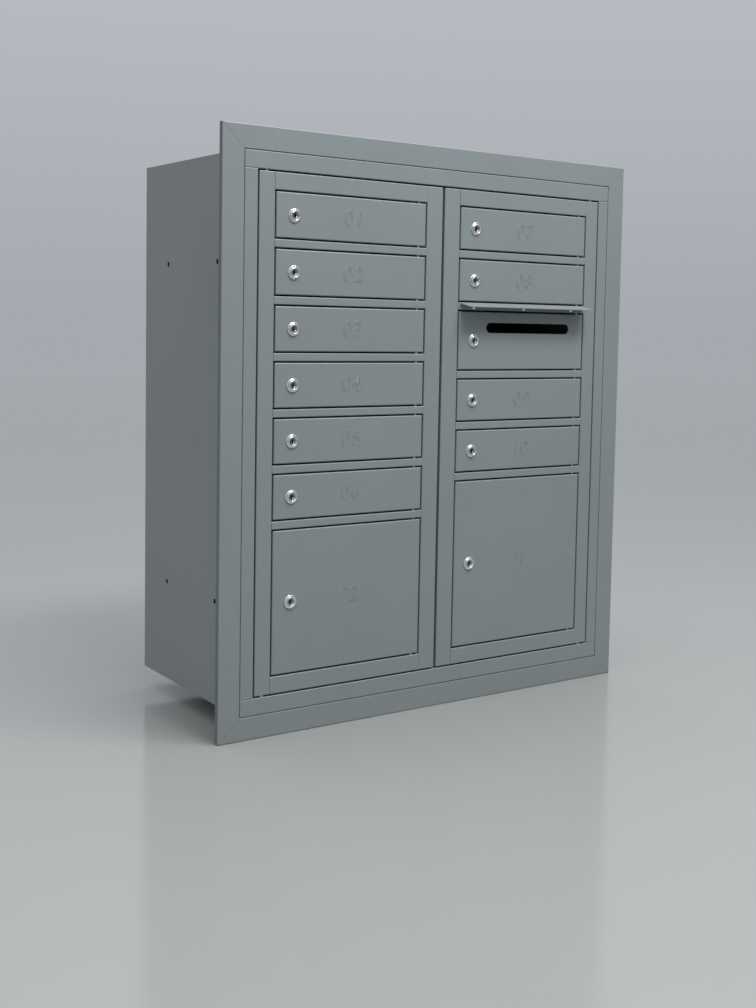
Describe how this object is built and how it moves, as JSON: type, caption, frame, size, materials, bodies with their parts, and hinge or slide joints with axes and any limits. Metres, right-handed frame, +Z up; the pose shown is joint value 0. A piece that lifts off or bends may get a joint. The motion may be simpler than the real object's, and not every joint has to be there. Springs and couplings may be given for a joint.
{
  "type": "recessed parcel locker",
  "caption": "Recessed wall-mounted mailbox bank with two hinged front frames, cam-locked letter and parcel doors, a hooded outgoing-mail slot and a mitred trim.",
  "frame": {"origin": "middle of the carcass' underside, in the plane of the finished wall that the trim lies on", "axes": "+X right seen from the front, +Y into the wall, +Z up"},
  "size_m": [0.825, 0.409, 0.965],
  "materials": {
    "powder_coat": "fine satin powder coat, blue-grey",
    "lock_nickel": "bright nickel plate",
    "plug_nickel": "satin nickel plate",
    "zinc_steel": "bright zinc plate"
  },
  "bodies": {
    "cabinet": {"left_side_panel": "powder_coat", "right_side_panel": "powder_coat", "top_panel": "powder_coat", "bottom_panel": "powder_coat", "back_panel": "powder_coat", "centre_divider": "powder_coat", "compartment_shelves": "powder_coat", "trim_bottom": "powder_coat", "trim_left": "powder_coat", "trim_top": "powder_coat", "trim_right": "powder_coat", "surround_frame": "powder_coat", "master_hinge_pins": "zinc_steel"},
    "left_master": {"left_master_frame": "powder_coat", "left_door_pins": "zinc_steel"},
    "right_master": {"right_master_frame": "powder_coat", "right_door_pins": "zinc_steel", "mail_hood": "powder_coat", "hood_rivets": "zinc_steel"},
    "left_latch": {"left_master_latch": "zinc_steel"},
    "right_latch": {"right_master_latch": "zinc_steel"},
    "door_01": {"door_01": "powder_coat", "lock_01_body": "lock_nickel"},
    "plug_01": {"lock_01_plug": "plug_nickel"},
    "door_02": {"door_02": "powder_coat", "lock_02_body": "lock_nickel"},
    "plug_02": {"lock_02_plug": "plug_nickel"},
    "door_03": {"door_03": "powder_coat", "lock_03_body": "lock_nickel"},
    "plug_03": {"lock_03_plug": "plug_nickel"},
    "door_04": {"door_04": "powder_coat", "lock_04_body": "lock_nickel"},
    "plug_04": {"lock_04_plug": "plug_nickel"},
    "door_05": {"door_05": "powder_coat", "lock_05_body": "lock_nickel"},
    "plug_05": {"lock_05_plug": "plug_nickel"},
    "door_06": {"door_06": "powder_coat", "lock_06_body": "lock_nickel"},
    "plug_06": {"lock_06_plug": "plug_nickel"},
    "door_p2": {"door_p2": "powder_coat", "lock_p2_body": "lock_nickel"},
    "plug_p2": {"lock_p2_plug": "plug_nickel"},
    "door_07": {"door_07": "powder_coat", "lock_07_body": "lock_nickel"},
    "plug_07": {"lock_07_plug": "plug_nickel"},
    "door_08": {"door_08": "powder_coat", "lock_08_body": "lock_nickel"},
    "plug_08": {"lock_08_plug": "plug_nickel"},
    "door_mail": {"door_mail": "powder_coat", "lock_mail_body": "lock_nickel"},
    "plug_mail": {"lock_mail_plug": "plug_nickel"},
    "door_09": {"door_09": "powder_coat", "lock_09_body": "lock_nickel"},
    "plug_09": {"lock_09_plug": "plug_nickel"},
    "door_10": {"door_10": "powder_coat", "lock_10_body": "lock_nickel"},
    "plug_10": {"lock_10_plug": "plug_nickel"},
    "door_p1": {"door_p1": "powder_coat", "lock_p1_body": "lock_nickel"},
    "plug_p1": {"lock_p1_plug": "plug_nickel"}
  },
  "joints": [
    {"name": "left_master_hinge", "type": "hinge", "parent": "cabinet", "child": "left_master", "pos_m": [-0.33425, -0.004, 0.445], "axis": [0, 0, -1], "range_deg": [0, 90]},
    {"name": "right_master_hinge", "type": "hinge", "parent": "cabinet", "child": "right_master", "pos_m": [0.33425, -0.004, 0.445], "axis": [0, 0, 1], "range_deg": [0, 90]},
    {"name": "left_latch_turn", "type": "hinge", "parent": "left_master", "child": "left_latch", "pos_m": [-0.01825, 0.01, 0.6], "axis": [0, -1, 0], "range_deg": [0, 90]},
    {"name": "right_latch_turn", "type": "hinge", "parent": "right_master", "child": "right_latch", "pos_m": [0.01825, 0.01, 0.6], "axis": [0, 1, 0], "range_deg": [0, 90]},
    {"name": "door_01_hinge", "type": "hinge", "parent": "left_master", "child": "door_01", "pos_m": [-0.0483, -0.005, 0.7936], "axis": [0, 0, 1], "range_deg": [0, 90]},
    {"name": "lock_01_turn", "type": "hinge", "parent": "door_01", "child": "plug_01", "pos_m": [-0.28705, -0.01, 0.7936], "axis": [0, 1, 0], "range_deg": [0, 90]},
    {"name": "door_02_hinge", "type": "hinge", "parent": "left_master", "child": "door_02", "pos_m": [-0.0483, -0.005, 0.7044], "axis": [0, 0, 1], "range_deg": [0, 90]},
    {"name": "lock_02_turn", "type": "hinge", "parent": "door_02", "child": "plug_02", "pos_m": [-0.28705, -0.01, 0.7044], "axis": [0, 1, 0], "range_deg": [0, 90]},
    {"name": "door_03_hinge", "type": "hinge", "parent": "left_master", "child": "door_03", "pos_m": [-0.0483, -0.005, 0.6152], "axis": [0, 0, 1], "range_deg": [0, 90]},
    {"name": "lock_03_turn", "type": "hinge", "parent": "door_03", "child": "plug_03", "pos_m": [-0.28705, -0.01, 0.6152], "axis": [0, 1, 0], "range_deg": [0, 90]},
    {"name": "door_04_hinge", "type": "hinge", "parent": "left_master", "child": "door_04", "pos_m": [-0.0483, -0.005, 0.526], "axis": [0, 0, 1], "range_deg": [0, 90]},
    {"name": "lock_04_turn", "type": "hinge", "parent": "door_04", "child": "plug_04", "pos_m": [-0.28705, -0.01, 0.526], "axis": [0, 1, 0], "range_deg": [0, 90]},
    {"name": "door_05_hinge", "type": "hinge", "parent": "left_master", "child": "door_05", "pos_m": [-0.0483, -0.005, 0.4368], "axis": [0, 0, 1], "range_deg": [0, 90]},
    {"name": "lock_05_turn", "type": "hinge", "parent": "door_05", "child": "plug_05", "pos_m": [-0.28705, -0.01, 0.4368], "axis": [0, 1, 0], "range_deg": [0, 90]},
    {"name": "door_06_hinge", "type": "hinge", "parent": "left_master", "child": "door_06", "pos_m": [-0.0483, -0.005, 0.3476], "axis": [0, 0, 1], "range_deg": [0, 90]},
    {"name": "lock_06_turn", "type": "hinge", "parent": "door_06", "child": "plug_06", "pos_m": [-0.28705, -0.01, 0.3476], "axis": [0, 1, 0], "range_deg": [0, 90]},
    {"name": "door_p2_hinge", "type": "hinge", "parent": "left_master", "child": "door_p2", "pos_m": [-0.0483, -0.005, 0.17765], "axis": [0, 0, 1], "range_deg": [0, 90]},
    {"name": "lock_p2_turn", "type": "hinge", "parent": "door_p2", "child": "plug_p2", "pos_m": [-0.28705, -0.01, 0.17765], "axis": [0, 1, 0], "range_deg": [0, 90]},
    {"name": "door_07_hinge", "type": "hinge", "parent": "right_master", "child": "door_07", "pos_m": [0.30775, -0.005, 0.7936], "axis": [0, 0, 1], "range_deg": [0, 90]},
    {"name": "lock_07_turn", "type": "hinge", "parent": "door_07", "child": "plug_07", "pos_m": [0.069, -0.01, 0.7936], "axis": [0, 1, 0], "range_deg": [0, 90]},
    {"name": "door_08_hinge", "type": "hinge", "parent": "right_master", "child": "door_08", "pos_m": [0.30775, -0.005, 0.7044], "axis": [0, 0, 1], "range_deg": [0, 90]},
    {"name": "lock_08_turn", "type": "hinge", "parent": "door_08", "child": "plug_08", "pos_m": [0.069, -0.01, 0.7044], "axis": [0, 1, 0], "range_deg": [0, 90]},
    {"name": "door_mail_hinge", "type": "hinge", "parent": "right_master", "child": "door_mail", "pos_m": [0.30775, -0.005, 0.6004], "axis": [0, 0, 1], "range_deg": [0, 90]},
    {"name": "lock_mail_turn", "type": "hinge", "parent": "door_mail", "child": "plug_mail", "pos_m": [0.069, -0.01, 0.6004], "axis": [0, 1, 0], "range_deg": [0, 90]},
    {"name": "door_09_hinge", "type": "hinge", "parent": "right_master", "child": "door_09", "pos_m": [0.30775, -0.005, 0.4964], "axis": [0, 0, 1], "range_deg": [0, 90]},
    {"name": "lock_09_turn", "type": "hinge", "parent": "door_09", "child": "plug_09", "pos_m": [0.069, -0.01, 0.4964], "axis": [0, 1, 0], "range_deg": [0, 90]},
    {"name": "door_10_hinge", "type": "hinge", "parent": "right_master", "child": "door_10", "pos_m": [0.30775, -0.005, 0.4072], "axis": [0, 0, 1], "range_deg": [0, 90]},
    {"name": "lock_10_turn", "type": "hinge", "parent": "door_10", "child": "plug_10", "pos_m": [0.069, -0.01, 0.4072], "axis": [0, 1, 0], "range_deg": [0, 90]},
    {"name": "door_p1_hinge", "type": "hinge", "parent": "right_master", "child": "door_p1", "pos_m": [0.30775, -0.005, 0.20745], "axis": [0, 0, 1], "range_deg": [0, 90]},
    {"name": "lock_p1_turn", "type": "hinge", "parent": "door_p1", "child": "plug_p1", "pos_m": [0.069, -0.01, 0.20745], "axis": [0, 1, 0], "range_deg": [0, 90]}
  ]
}
